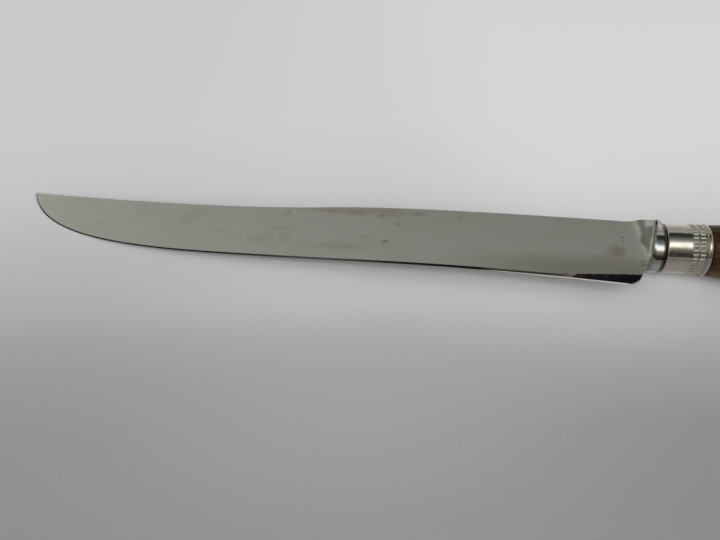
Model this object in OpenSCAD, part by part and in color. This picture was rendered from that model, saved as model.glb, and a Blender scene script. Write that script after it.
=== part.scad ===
// Carving knife with a forged bolster, a beaded ferrule and a shaped handle.
// The knife lies on its side, as it does on a table: +X runs along the knife from tip to butt,
// the edge faces -Y, and +Z is up. It rests on the belly of its edge and on the swell of its handle.
// The origin is on the table, under the middle of the knife.
// The modules draw the pieces in the knife's own frame, with the bolster's back at x = 0 and the
// blade's middle plane at z = 0, and lying() then lays them on the table.

/* [Blade] */
// Length of the blade, from its tip to the back of the bolster
blade_len = 228; // [200:1:260]
// Depth of the blade at the heel, from spine to edge
blade_depth = 27.6; // [25:0.1:31]
// Thickness of the blade at the spine, next to the neck
spine_thick = 2.6; // [2.3:0.1:3]
// How much thinner the spine is at the tip than at the neck
spine_taper = 1.8; // [1:0.1:1.8]
// How much thinner the blade is along its edge than at its spine, between the flat cheeks
cheek_taper = 1.1; // [0.6:0.05:1.3]
// How much of that thickness the heel's corner keeps, on each side
heel_swell = 0.3; // [0.1:0.05:0.4]
// How far the thicker heel reaches along the edge
heel_swell_len = 40; // [25:1:60]
// Width of the sharpened bevel along the belly
bevel_w = 0.5; // [0.4:0.05:0.8]
// Width of the bevel at the heel, where it is flat and wide
heel_bevel_w = 3.9; // [2.5:0.1:4.5]
// How far the wide bevel reaches along the edge
heel_bevel_len = 25; // [15:1:40]
// Width of the honed strip along the edge at the heel
hone_w = 0.3; // [0.2:0.05:0.6]
// Width of the honed strip along the belly
hone_belly = 0.08; // [0.05:0.01:0.12]
// Angle of the honed strip, on each side
hone_angle = 43; // [38:1:48]
// Radius of the rounded heel corner
heel_r = 5; // [3:0.5:6]

/* [Neck and bolster] */
// Radius of the round bolster band
bolster_r = 7.85; // [7.4:0.05:8.2]
// Width of the bolster band across the middle of the cheek
band_w = 2.4; // [1.8:0.1:3]
// How much wider the band is on the lower cheek
band_spread = 1; // [0:0.1:1.5]
// How far the shoulder leans round from square across the knife
shoulder_slant = 12.5; // [5:0.5:16]
// Where the long hollow starts to rise from the cheek, in front of the bolster's back
hollow_start = 9.2; // [8:0.1:10]
// How much earlier it starts at the spine
hollow_flare = 1.5; // [0.5:0.1:2]
// Radius of the long hollow
hollow_r = 16; // [13:1:20]
// Radius of the short fillet between the hollow and the shoulder
neck_fillet = 1.8; // [1.2:0.1:3]
// Height of the hump over the knife's axis, where the spine runs out into the bolster
hump_top = 9.75; // [9:0.05:10.2]
// Half width of the hump across the knife
hump_side = 7.6; // [7.2:0.1:7.7]
// Rounding of the hump's back edge
hump_round = 1.1; // [0.8:0.1:1.6]
// Rounding of the bolster's back edge
bolster_round = 0.7; // [0.3:0.1:1]

/* [Tang] */
// Length of the tang behind the bolster
tang_len = 86; // [60:1:95]
// Side of the square tang at the bolster
tang_root = 5.4; // [4.5:0.1:5.6]
// Side of the square tang at its end
tang_end = 3; // [2:0.1:4]

/* [Ferrule] */
// Length of the ferrule
ferrule_len = 12.9; // [12:0.1:16]
// Outer radius of the plain part
ferrule_r = 7.7; // [7.4:0.1:8]
// Thickness of its metal
ferrule_wall = 0.65; // [0.5:0.05:0.8]
// Radius of the rolled front lip
lip_r = 0.9; // [0.6:0.1:1.2]
// Beads in each of the two rows
bead_count = 36; // [24:1:40]
// Width of a bead
bead_w = 1.1; // [0.8:0.1:1.1]
// Length of a bead
bead_len = 1.9; // [1.5:0.1:1.9]
// Where the first row of beads starts, behind the ferrule's front
bead_start = 7.2; // [6:0.1:7.2]
// Width of the rounded back rim
rim_w = 1.7; // [1.4:0.1:1.8]
// How far the beads stand up over the plain part
bead_proud = 0.2; // [0.1:0.05:0.4]
// How far the rim stands up over the plain part
rim_proud = 0.4; // [0.2:0.05:0.5]

/* [Handle] */
// Length of the handle behind the ferrule
handle_len = 114; // [100:1:125]
// How strongly the back of the handle bows out
back_pull = 9.4; // [8.6:0.1:11]
// Height of the back over the axis at the butt
butt_back = 9.6; // [8.6:0.1:11]
// How strongly the palm swell bows out on the edge side
palm_pull = 16.9; // [14:0.1:18]
// How strongly the waist behind the palm swell draws in
waist_pull = 8.5; // [7:0.1:10]
// Depth of the butt under the axis
butt_belly = 12.4; // [10:0.1:14]
// How strongly the sides of the handle bow out
side_pull = 12.1; // [10:0.1:13]
// Half thickness of the handle at the butt
butt_side = 10.6; // [9:0.1:12]
// Length over which the butt is rounded off
butt_round = 9; // [6:0.5:12]
// Radius of the bore for the tang
bore_r = 4.2; // [4:0.1:4.6]

/* [Rest] */
// Roll of the knife about its length as it lies, edge down
rest_roll = 3.7; // [2:0.1:5]

/* [Hidden] */
$fn = 96;

// The blade's outline is four curves of four control points each. A point is a share of the blade's
// length, counted from the tip, and a height over the axis of a blade that is depth_drawn deep.
depth_drawn = 27.6;
spine_tip = [[0, 13.5], [0.134, 11.4], [0.368, 9], [0.513, 11.7]];
spine_heel = [[0.513, 11.7], [0.636, 14.1], [0.825, 12.1], [0.962, 10.7]];
edge_belly = [[0, 13.5], [0.061, -7.8], [0.18, -13.4], [0.386, -13.8]];
edge_heel = [[0.386, -13.8], [0.64, -14.3], [0.7, -12.2], [0.95, -16.9]];
curve_steps = 48;
// The belly starts this far along its first curve, so the point has a width
point_start = 0.006;

// The bevel's skin takes at most this share of the blade's depth
bevel_share = 0.45;

// Where the ground blade ends inside the neck, how high it is there, and where the heel's back edge is
blade_end = -5;
blade_end_top = 9.6;
heel_back = -7;
// Radius of the hollow curve in which the heel's back runs up to the bolster
choil_r = 5;
// Depth of the neck's hollow under the cheeks, so that it rises through them
hollow_sink = 0.2;
// The blade's skin stands out this far past the planes that the cheeks are then cut to
cheek_spare = 0.4;

// The neck starts in front of the hollow. Its hump is a row of sections between the spine's flat top
// and the round bolster: half width and squareness at the front, squareness at the back, depth under
// the knife's axis, room over the spine and steps of its rounded back edge in degrees
neck_start = -11;
hump_start = -5.5;
hump_narrow = 5.5;
hump_square = 5;
hump_full = 2.3;
hump_under = 5;
hump_spare = 0.1;
hump_turn = 22.5;
hump_rings = 12;
hump_sides = 40;
// The hollow and its fillet are cut by sections across the knife, this far out and this many to a side
cut_reach = 14;
cut_rows = 8;
cut_steps = 8;

// Room round the tang at the ferrule's hole, wall of the ferrule's front and play of its spigot
tang_hole_r = 4.6;
ferrule_front = 1.1;
spigot_play = 0.05;
// The bore runs on a little past the tang
bore_spare = 4;

// Room between the two rows of beads
bead_gap = 0.1;
bead_fn = 20;

// The handle starts a little lower than the rim. Its back starts out nearly level and its sides draw in
// to a waist before the butt, which is rounded off like an oval of this power
handle_step = 0.35;
back_start = 0.5;
side_waist = 8.4;
butt_power = 2.4;
ring_sides = 40;
// Rings along the handle, and turns of the rings that round its butt, in degrees
body_rings = 28;
butt_turns = [15 : 12 : 87];

far = 300;

depth_scale = blade_depth / depth_drawn;
ferrule_in = ferrule_r - ferrule_wall;
rim_r = ferrule_r + rim_proud;
handle_front = rim_r - handle_step;
bead_seat = ferrule_r + bead_proud - bead_w / 2;
butt_x = ferrule_len + handle_len;

function bezier(p, t) = pow(1 - t, 3) * p[0] + 3 * pow(1 - t, 2) * t * p[1]
    + 3 * (1 - t) * t * t * p[2] + pow(t, 3) * p[3];
function unit(v) = v / norm(v);
function along(a, b, t) = a + (b - a) * t;

// Outline points in the knife's frame
function placed(p) = [(p[0] - 1) * blade_len, p[1] * depth_scale];
function curve(p, from, nudge = 0) =
    [for (i = [from : curve_steps]) placed(bezier(p, max(i / curve_steps, nudge)))];
function reach(p, x) = let (a = placed(p[2]), b = placed(p[3]))
    [x, b[1] + (b[1] - a[1]) / (b[0] - a[0]) * (x - b[0])];

spine_line = concat(curve(spine_tip, 0), curve(spine_heel, 1), [[blade_end, blade_end_top]]);
edge_line = concat(curve(edge_belly, 0, point_start), curve(edge_heel, 1), [reach(edge_heel, blade_end)]);
stations = len(spine_line) - 1;
heel_end = placed(edge_heel[3]);
heel_fall = (reach(edge_heel, 0)[1] - heel_end[1]) / -heel_end[0];

// Half thickness between the two flat cheeks
spine_root = placed(spine_heel[3]);
taper_x = spine_taper / 2 / (blade_len + spine_root[0]);
taper_y = cheek_taper / 2 / blade_depth;
function cheek(p) = spine_thick / 2 + taper_x * (p[0] - spine_root[0]) + taper_y * (p[1] - spine_root[1]);

// The heel swells away from a line that runs from the spine's root to the edge
swell_to = [heel_back - heel_swell_len, edge_heel[2][1] * depth_scale];
swell_way = unit(swell_to - spine_root);
swell_out = [-swell_way[1], swell_way[0]];
swell_slope = heel_swell / ((heel_end - spine_root) * swell_out);

function half_at(p) = cheek(p) + max(0, swell_slope * ((p - spine_root) * swell_out));

// Direction square to the edge, towards the spine
function inward(i) = let (
        a = edge_line[max(i - 1, 0)],
        b = edge_line[min(i + 1, stations)],
        d = unit(b - a)
    ) [-d[1], d[0]];
// Widths of the bevel and of its honed strip, square to the edge
function heel_share(p, len) = min(1, max(0, 1 - (heel_back - p[0]) / len));
function bevel(i) = along(bevel_w, heel_bevel_w, heel_share(edge_line[i], heel_bevel_len));
function hone(i) = along(hone_belly, hone_w, heel_share(edge_line[i], heel_swell_len));
// The bevel's skin may take this much of the blade's depth, which is little at the point
function bevel_most(i) = norm(spine_line[i] - edge_line[i]) * bevel_share;

// One section of the ground blade: edge, honed strip, bevel and spine, up one side and down the other.
// The bevel runs on past the cheek, which is cut across it
function blade_ring(i) = let (
        e = edge_line[i],
        half = half_at(e + bevel(i) * inward(i)),
        zh = hone(i) * tan(hone_angle),
        run = (bevel(i) - hone(i)) * (half + cheek_spare - zh) / (half - zh),
        fit = min(1, bevel_most(i) / (run + hone(i))),
        m = e + fit * hone(i) * inward(i),
        zm = fit * zh,
        b = m + fit * run * inward(i),
        zb = half + cheek_spare,
        s = spine_line[i],
        zs = cheek(s) + cheek_spare
    ) [
        [e[0], e[1], 0],
        [m[0], m[1], -zm],
        [b[0], b[1], -zb],
        [s[0], s[1], -zs],
        [s[0], s[1], zs],
        [b[0], b[1], zb],
        [m[0], m[1], zm]
    ];

// A closed skin over a list of rings that all have the same number of points
module skin(rings) {
    n = len(rings[0]);
    last = len(rings) - 1;
    polyhedron(
        points = [for (ring = rings) for (p = ring) p],
        faces = concat(
            [[for (k = [0 : n - 1]) k]],
            [for (i = [0 : last - 1]) for (k = [0 : n - 1]) let (a = i * n + k, b = i * n + (k + 1) % n)
                each [[a, a + n, b], [b, a + n, b + n]]],
            [[for (k = [n - 1 : -1 : 0]) last * n + k]]
        )
    );
}

// A solid drawn along +Z is turned to run along +X
module lengthwise() {
    rotate([0, 90, 0]) children();
}

module x_rod(r, from, to) {
    translate([from, 0, 0]) lengthwise() cylinder(r = r, h = to - from);
}

// The heel's corner is a circle that touches the edge and the hollow curve of the heel's back
module heel_outline() {
    cx = heel_back - heel_r;
    cy = heel_end[1] + heel_fall * (cx - heel_end[0]) + heel_r * sqrt(1 + heel_fall * heel_fall);
    translate([cx, cy]) circle(r = heel_r);
    polygon([[cx - far, cy - far], [cx, cy - far], [cx, cy], [cx - far, cy]]);
    difference() {
        translate([cx - far, cy]) square([far - cx, far]);
        translate([heel_back + choil_r, cy]) circle(r = choil_r);
    }
}

// Everything above a plane through the spine's root that climbs along X and Y
module above_plane(climb_x, climb_y) {
    lean = -atan(climb_x);
    translate([spine_root[0], spine_root[1], spine_thick / 2])
        rotate([atan(climb_y * cos(lean)), lean, 0])
            translate([-far, -far, 0]) cube([2 * far, 2 * far, far]);
}

// Everything above the upper cheek, which is one plane along the blade and one over the heel
module above_cheek() {
    intersection() {
        above_plane(taper_x, taper_y);
        above_plane(taper_x + swell_slope * swell_out[0], taper_y + swell_slope * swell_out[1]);
    }
}

module ground_blade() {
    difference() {
        intersection() {
            skin([for (i = [0 : stations]) blade_ring(i)]);
            translate([0, 0, -spine_thick]) linear_extrude(2 * spine_thick) heel_outline();
        }
        above_cheek();
        mirror([0, 0, 1]) above_cheek();
    }
}

// Round bar with a rounded back edge at x = 0, which runs forward to the front of the neck
module rounded_bar(r, round) {
    lengthwise() rotate_extrude() {
        translate([0, neck_start]) square([r, -neck_start - round]);
        translate([0, -round]) square([r - round, round]);
        intersection() {
            translate([r - round, -round]) circle(r = round);
            translate([r - round, -round]) square(round);
        }
    }
}

function eased(t) = t * t * (3 - 2 * t);
function power(v, n) = sign(v) * pow(abs(v), 2 / n);

// Sections of the hump: flat on top where the spine runs in, and round at the bolster
function hump_ring(x, top, side, n) = [
    for (k = [0 : hump_sides - 1]) let (a = k * 360 / hump_sides, c = cos(a))
        [x, (c > 0 ? top : hump_under) * power(c, n), side * power(sin(a), n)]
];
function hump_section(x) = let (s = eased(max(0, (x - hump_start) / (-hump_round - hump_start))))
    hump_ring(x, along(spine_root[1] + hump_spare, hump_top, s), along(hump_narrow, hump_side, s),
        along(hump_square, hump_full, s));
hump_step = (-hump_round - neck_start) / hump_rings;

module hump() {
    skin(concat(
        [for (i = [0 : hump_rings]) hump_section(neck_start + i * hump_step)],
        [for (b = [hump_turn : hump_turn : 90]) let (in = hump_round * (1 - cos(b)))
            hump_ring(hump_round * (sin(b) - 1), hump_top - in, hump_side - in, hump_full)]
    ));
}

// Section of the space over one cheek, at a height y: flat, then the long hollow, the fillet and the
// shoulder's wall, which leans round as it comes nearer the spine
hollow_foot = spine_thick / 2 - hollow_sink;
function cut_ring(y, band) = let (
        wall = y * tan(shoulder_slant) - band,
        start = -hollow_start - hollow_flare * max(0, y) / spine_root[1],
        middle = wall - neck_fillet,
        meet = asin((middle - start) / (hollow_r - neck_fillet)),
        top = hollow_foot + hollow_r - (hollow_r - neck_fillet) * cos(meet)
    ) concat(
        [[-far, y, hollow_foot]],
        [for (i = [0 : cut_steps]) let (a = meet * i / cut_steps)
            [start + hollow_r * sin(a), y, hollow_foot + hollow_r * (1 - cos(a))]],
        [for (i = [1 : cut_steps]) let (a = along(meet, 90, i / cut_steps))
            [middle + neck_fillet * sin(a), y, top - neck_fillet * cos(a)]],
        [[wall, y, cut_reach], [-far, y, cut_reach]]
    );

// Everything that is cut away over one cheek, up to the shoulder's wall
module over_cheek(band) {
    skin([for (i = [cut_rows : -1 : -cut_rows]) cut_ring(i * cut_reach / cut_rows, band)]);
}

module neck() {
    difference() {
        intersection() {
            union() {
                rounded_bar(bolster_r, bolster_round);
                hump();
            }
            translate([neck_start, -bolster_r, -far])
                cube([-neck_start, bolster_r + spine_root[1], 2 * far]);
        }
        over_cheek(band_w);
        mirror([0, 0, 1]) over_cheek(band_w + band_spread);
    }
}

function square_ring(x, side) = [
    for (c = [[-1, -1], [1, -1], [1, 1], [-1, 1]]) [x, c[0] * side / 2, c[1] * side / 2]
];

module tang(from = -1) {
    skin([square_ring(from, tang_root), square_ring(tang_len, tang_end)]);
}

module blade() {
    color("silver") lying() {
        ground_blade();
        neck();
        tang();
    }
}

module bead() {
    body = bead_len - bead_w;
    rotate_extrude($fn = bead_fn) intersection() {
        square([bead_w, bead_len]);
        union() {
            translate([0, bead_w / 2]) circle(d = bead_w);
            translate([0, bead_len - bead_w / 2]) circle(d = bead_w);
            translate([0, bead_w / 2]) square([bead_w / 2, body]);
        }
    }
}

module ferrule_shell() {
    lengthwise() rotate_extrude() {
        translate([tang_hole_r, 0]) square([ferrule_r - lip_r - tang_hole_r, ferrule_front]);
        intersection() {
            translate([ferrule_r - lip_r, lip_r]) circle(r = lip_r);
            translate([ferrule_r - lip_r, 0]) square([lip_r, lip_r]);
        }
        translate([ferrule_in, lip_r]) square([ferrule_wall, ferrule_len - lip_r - rim_w / 2]);
        intersection() {
            translate([rim_r - rim_w / 2, ferrule_len - rim_w / 2]) circle(d = rim_w);
            translate([ferrule_in, 0]) square([ferrule_r, ferrule_len]);
        }
    }
}

module ferrule() {
    color("gainsboro") lying() {
        ferrule_shell();
        for (row = [0, 1]) for (k = [0 : bead_count - 1])
            rotate([k * 360 / bead_count, 0, 0])
                translate([bead_start + row * (bead_len + bead_gap), 0, bead_seat])
                    lengthwise() bead();
    }
}

// Heights of the handle's back, belly and side over its axis, at a share of its length
function back_at(s) = bezier([handle_front, handle_front + back_start, back_pull, butt_back], s);
function belly_at(s) = bezier([handle_front, palm_pull, waist_pull, butt_belly], s);
function side_at(s) = bezier([handle_front, side_pull, side_waist, butt_side], s);
// How much the butt's rounding leaves of them
function butt_in(s) = let (t = max(0, 1 - (1 - s) * handle_len / butt_round))
    pow(1 - pow(t, butt_power), 1 / butt_power);

function handle_ring(s) = [
    for (k = [0 : ring_sides - 1]) let (a = k * 360 / ring_sides, q = butt_in(s)) [
        ferrule_len + s * handle_len,
        q * cos(a) * (cos(a) > 0 ? back_at(s) : belly_at(s)),
        q * sin(a) * side_at(s)
    ]
];
// Rings are close together at the butt, where the handle is rounded off
butt_share = butt_round / handle_len;
ring_places = concat(
    [for (i = [0 : body_rings]) (1 - butt_share) * i / body_rings],
    [for (a = butt_turns) 1 - butt_share * (1 - sin(a))]
);

module handle() {
    color([0.24, 0.16, 0.1]) lying() difference() {
        union() {
            skin([for (s = ring_places) handle_ring(s)]);
            x_rod(ferrule_in - spigot_play, ferrule_front, ferrule_len);
        }
        x_rod(bore_r, 0, tang_len + bore_spare);
    }
}

module tang_cement() {
    color("darkslategray") lying() difference() {
        x_rod(bore_r, ferrule_front, tang_len + bore_spare);
        tang();
    }
}

// How the knife lies: its pitch is found by halving, so that edge and handle touch the table together
function lowest_edge(pitch) =
    min([for (p = edge_line) p[0] * sin(pitch) + p[1] * sin(rest_roll) * cos(pitch)]);
function lowest_handle(pitch) = min([
    for (s = ring_places) (ferrule_len + s * handle_len) * sin(pitch) - butt_in(s) * cos(pitch)
        * norm([belly_at(s) * sin(rest_roll), side_at(s) * cos(rest_roll)])
]);
function find_pitch(low, high, tries) = let (mid = (low + high) / 2)
    tries == 0 ? mid
    : lowest_edge(mid) > lowest_handle(mid) ? find_pitch(mid, high, tries - 1)
    : find_pitch(low, mid, tries - 1);
rest_pitch = find_pitch(0.5, 5, 30);
lift = -lowest_edge(rest_pitch);
mid_x = (butt_x - blade_len) / 2 * cos(rest_pitch);
mid_y = (edge_belly[0][1] + heel_end[1]) / 2 * depth_scale;

module lying() {
    translate([-mid_x, -mid_y, lift]) rotate([rest_roll, -rest_pitch, 0]) children();
}

blade();
ferrule();
handle();
tang_cement();
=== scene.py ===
"""Dresses the carving knife that lies on its side on pale paper.

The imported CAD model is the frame: forged blade, ferrule, handle and the cement round the tang. The blade,
the ferrule and the cement keep their CAD solids, and the handle gets a smooth skin of the same form. Every
finish is made of nodes and is measured in the knife's own frame, in millimetres: the blade points to -X, its
edge to -Y, and the bolster's back is at x = 0.
"""

import logging
import math
from dataclasses import dataclass
from enum import Enum

import bpy
from mathutils import Matrix, Vector


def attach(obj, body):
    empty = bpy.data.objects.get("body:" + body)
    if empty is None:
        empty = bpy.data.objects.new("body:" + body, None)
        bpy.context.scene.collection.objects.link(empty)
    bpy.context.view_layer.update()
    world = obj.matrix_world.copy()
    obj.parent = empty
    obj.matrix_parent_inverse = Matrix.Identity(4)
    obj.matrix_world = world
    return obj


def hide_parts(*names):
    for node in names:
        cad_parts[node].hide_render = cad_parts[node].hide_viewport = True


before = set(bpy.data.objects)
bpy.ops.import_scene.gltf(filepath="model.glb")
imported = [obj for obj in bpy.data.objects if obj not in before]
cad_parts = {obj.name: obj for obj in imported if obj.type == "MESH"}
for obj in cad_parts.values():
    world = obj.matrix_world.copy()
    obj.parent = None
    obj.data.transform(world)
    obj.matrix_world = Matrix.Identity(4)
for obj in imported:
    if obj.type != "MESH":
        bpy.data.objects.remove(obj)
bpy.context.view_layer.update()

MM = 0.001

log = logging.getLogger("carving_knife")

Point = tuple[float, float, float]
Colour = tuple[float, float, float]
# The ends of a range, or of a soft border: where a zone is absent and where it is full
Ends = tuple[float, float]
Socket = bpy.types.NodeSocket
Value = Socket | float
Tone = Socket | Colour
# What goes into a node's inputs, by name or number
Inputs = dict[str | int, object]

# Ways in the knife's own frame
TO_EDGE: Point = (0.0, -1.0, 0.0)
TO_TIP: Point = (-1.0, 0.0, 0.0)
TO_BUTT: Point = (1.0, 0.0, 0.0)


class Body(Enum):
    """The CAD bodies. A knife has one."""

    ROOT = "root"


class Slot(Enum):
    """The record's material slots; no piece of this file takes them."""

    HANDLE = "handle"


class Blend(Enum):
    """How one colour is laid over another."""

    MIX = "MIX"
    MULTIPLY = "MULTIPLY"


@dataclass(frozen=True)
class Rest:
    """How the knife lies on the table, as the CAD source lays it."""

    roll: float = 3.7
    pitch: float = 2.17833
    shift: Point = (50.5135, 1.7, 8.1589)

    def turn(self) -> Matrix:
        """The turn from the knife's own frame to the table's."""
        pitched = Matrix.Rotation(math.radians(-self.pitch), 3, "Y")
        return pitched @ Matrix.Rotation(math.radians(self.roll), 3, "X")

    def to_table(self) -> Matrix:
        """Places millimetres of the knife's own frame on the table, in metres."""
        move = Matrix.Translation(Vector(self.shift) * MM)
        return move @ self.turn().to_4x4() @ Matrix.Scale(MM, 4)

    def to_knife(self) -> Matrix:
        """The way back: metres on the table to millimetres of the knife's own frame."""
        return self.to_table().inverted()


REST = Rest()


@dataclass(frozen=True)
class Clouds:
    """One kind of cloudy noise."""

    # Spots per millimetre on the knife, or per metre on the paper
    scale: float
    # How much finer the spots are along each axis
    stretch: Point | None = None
    # Layers of finer noise, their strength, and how much the noise folds into itself
    detail: float = 3.0
    rough: float = 0.55
    twist: float = 0.0


@dataclass(frozen=True)
class Relief:
    """How far a pattern stands out of its surface, or sinks into it where the depth is negative."""

    strength: float
    depth_mm: float


class Nodes:
    """A shader tree that is written down line by line."""

    def __init__(self, name: str, world: bool = False) -> None:
        """Starts an empty tree.

        Args:
            name: Name of the material or world.
            world: Makes a world instead of a material.
        """
        home = bpy.data.worlds if world else bpy.data.materials
        self.data = home.new(name)
        self.data.use_nodes = True
        self.tree = self.data.node_tree
        self.tree.nodes.clear()
        kind = "ShaderNodeOutputWorld" if world else "ShaderNodeOutputMaterial"
        self.out = self.tree.nodes.new(kind)

    def add(self, kind: str, inputs: Inputs | None = None, **settings: object) -> bpy.types.Node:
        """Adds one node.

        Args:
            kind: Blender's name of the node type, without its ShaderNode prefix.
            inputs: Values or sockets to put into the node's inputs, by name or number.
            **settings: Attributes of the node.

        Returns:
            The new node.
        """
        node = self.tree.nodes.new("ShaderNode" + kind)
        for name, value in settings.items():
            setattr(node, name, value)
        for key, value in (inputs or {}).items():
            self.plug(node.inputs[key], value)
        return node

    def plug(self, socket: Socket, value: object) -> None:
        """Links a socket to another, or sets it to a constant.

        Args:
            socket: The input to fill.
            value: A socket, a number, a vector or a colour.
        """
        if isinstance(value, bpy.types.NodeSocket):
            self.tree.links.new(value, socket)
        elif isinstance(value, tuple) and len(value) == 3 and socket.type == "RGBA":
            socket.default_value = (*value, 1.0)
        else:
            socket.default_value = value

    def math(self, operation: str, *values: Value, clamp: bool = False) -> Socket:
        """One sum, by Blender's name of the operation. clamp keeps the result between 0 and 1."""
        inputs = dict(enumerate(values))
        return self.add("Math", inputs, operation=operation, use_clamp=clamp).outputs[0]

    def plus(self, one: Value, other: Value) -> Socket:
        """The sum of two values."""
        return self.math("ADD", one, other)

    def minus(self, one: Value, other: Value) -> Socket:
        """The first value less the second."""
        return self.math("SUBTRACT", one, other)

    def times(self, product: Value, *factors: Value) -> Socket:
        """Multiplies values.

        Args:
            product: The first value.
            *factors: The values to multiply it by, one after the other.

        Returns:
            The product's socket.
        """
        for factor in factors:
            product = self.math("MULTIPLY", product, factor)
        return product

    def most(self, one: Value, other: Value) -> Socket:
        """The larger of two values."""
        return self.math("MAXIMUM", one, other)

    def beyond(self, value: Value, limit: float) -> Socket:
        """1 where a value is over a limit, and 0 elsewhere."""
        return self.math("GREATER_THAN", value, limit)

    def reach(self, one: Socket, other: Socket) -> Socket:
        """The distance that two ways at right angles to each other add up to."""
        return self.math("SQRT", self.plus(self.times(one, one), self.times(other, other)))

    def span(self, value: Value, ends: Ends, to: Ends = (0.0, 1.0)) -> Socket:
        """Maps a value smoothly from one pair of ends to another, and holds it beyond them."""
        inputs = {"Value": value, "From Min": ends[0], "From Max": ends[1], "To Min": to[0], "To Max": to[1]}
        return self.add("MapRange", inputs, interpolation_type="SMOOTHSTEP").outputs[0]

    def evenly(self, value: Value, ends: Ends) -> Socket:
        """The place of a value between two ends, as an even share from 0 to 1."""
        return self.add("MapRange", {"Value": value, "From Min": ends[0], "From Max": ends[1]}).outputs[0]

    def mixed(self, under: Value, over: Value, share: Value) -> Socket:
        """One number laid over another by a share."""
        return self.add("Mix", {0: share, 2: under, 3: over}, data_type="FLOAT").outputs[0]

    def colour(self, under: Tone, over: Tone, share: Value, how: Blend = Blend.MIX) -> Socket:
        """Lays one colour over another.

        Args:
            under: The colour beneath.
            over: The colour on top.
            share: How much of the top one shows, from 0 to 1.
            how: The way they are laid together.

        Returns:
            The mixed colour.
        """
        node = self.add("Mix", data_type="RGBA", blend_type=how.value)
        self.plug(node.inputs[0], share)
        self.plug(node.inputs[6], under)
        self.plug(node.inputs[7], over)
        return node.outputs[2]

    def ramp(self, share: Value, stops: list[tuple[float, Colour]]) -> Socket:
        """A colour ramp.

        Args:
            share: Place along the ramp, from 0 to 1.
            stops: Each stop's place and colour.

        Returns:
            The ramp's colour.
        """
        node = self.add("ValToRGB", {"Fac": share})
        band = node.color_ramp
        while len(band.elements) < len(stops):
            band.elements.new(0.5)
        for element, (place, colour) in zip(band.elements, stops):
            element.position = place
            element.color = (*colour, 1.0)
        return node.outputs[0]

    def split(self, place: Socket) -> tuple[Socket, ...]:
        """The three parts of a vector."""
        return tuple(self.add("SeparateXYZ", {"Vector": place}).outputs)

    def along(self, place: Socket, way: Point) -> Socket:
        """How far a place lies along a way, or how squarely a direction faces it."""
        return self.add("VectorMath", {0: place, 1: way}, operation="DOT_PRODUCT").outputs["Value"]

    def stretched(self, place: Socket, scale: Point) -> Socket:
        """The same coordinates with a scale of their own along each axis."""
        return self.add("Mapping", {"Vector": place, "Scale": scale}).outputs[0]

    def noise(self, place: Socket, clouds: Clouds) -> Socket:
        """Cloudy noise.

        Args:
            place: Coordinates.
            clouds: The kind of noise.

        Returns:
            The noise's value.
        """
        inputs = {
            "Vector": self.stretched(place, clouds.stretch) if clouds.stretch else place,
            "Scale": clouds.scale,
            "Detail": clouds.detail,
            "Roughness": clouds.rough,
            "Distortion": clouds.twist,
        }
        return self.add("TexNoise", inputs).outputs["Fac"]

    def bump(self, height: Value, relief: Relief, under: Socket | None = None) -> Socket:
        """Turns a height into a bumped normal.

        Args:
            height: The height, from 0 to 1.
            relief: How much of it counts, and the depth that 1 stands for.
            under: A normal to lay it over.

        Returns:
            The normal's socket.
        """
        inputs = {"Height": height, "Strength": relief.strength, "Distance": relief.depth_mm * MM}
        if under is not None:
            inputs["Normal"] = under
        return self.add("Bump", inputs).outputs[0]

    def knife_place(self) -> Socket:
        """Finds where a point lies in the knife's own frame.

        Returns:
            Its coordinates, in millimetres.
        """
        inputs = {
            "Vector": self.add("TexCoord").outputs["Object"],
            "Location": tuple(REST.to_knife().translation),
            "Rotation": tuple(REST.turn().inverted().to_euler()),
            "Scale": (1 / MM, 1 / MM, 1 / MM),
        }
        return self.add("Mapping", inputs, vector_type="POINT").outputs[0]

    def facing(self, way: Point) -> Socket:
        """How squarely the surface faces a way of the knife's own frame, from -1 to 1."""
        return self.along(self.add("TexCoord").outputs["Normal"], tuple(REST.turn() @ Vector(way)))

    def radius(self, place: Socket) -> Socket:
        """Distance from the knife's axis, in millimetres."""
        _, y, z = self.split(place)
        return self.reach(y, z)

    def shader(self, **inputs: object) -> bpy.types.Material:
        """Closes a material with the Principled shader.

        Args:
            **inputs: The shader's inputs, with underscores for the spaces in their names.

        Returns:
            The finished material.
        """
        named = {key.replace("_", " "): value for key, value in inputs.items()}
        shader = self.add("BsdfPrincipled", named)
        self.plug(self.out.inputs["Surface"], shader.outputs[0])
        return self.data


@dataclass(frozen=True)
class Stain:
    """A soft-edged stain on the steel."""

    # Its middle, and half its length and width, along and across the knife
    at: tuple[float, float]
    half: tuple[float, float]
    strength: float
    # How far noise frays the rim, and the reach at which the stain is gone and at which it is full
    fray: float = 2.6
    rim: Ends = (1.5, 0.1)

    def share(self, n: Nodes, x: Socket, y: Socket, ragged: Socket) -> Socket:
        """How much of the stain shows at a place.

        Args:
            n: The material's tree.
            x: Place along the knife.
            y: Place across it.
            ragged: Noise that frays the stain's rim.

        Returns:
            The share, from 0 to the stain's strength.
        """
        along = n.math("DIVIDE", n.minus(x, self.at[0]), self.half[0])
        across = n.math("DIVIDE", n.minus(y, self.at[1]), self.half[1])
        frayed = n.plus(n.reach(along, across), n.times(n.minus(ragged, 0.5), self.fray))
        return n.span(frayed, self.rim, (0.0, self.strength))


@dataclass(frozen=True)
class Pit:
    """A small round pit in the steel."""

    # Its middle, along and across the knife
    at: tuple[float, float]
    radius: float
    # The share of the radius within which it is full
    full: float = 0.4

    def share(self, n: Nodes, flat: Socket) -> Socket:
        """How much of the pit shows, from 0 to 1, at a place along and across the knife."""
        away = n.add("VectorMath", {0: flat, 1: (*self.at, 0.0)}, operation="DISTANCE").outputs["Value"]
        return n.span(away, (self.radius, self.radius * self.full))


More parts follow.
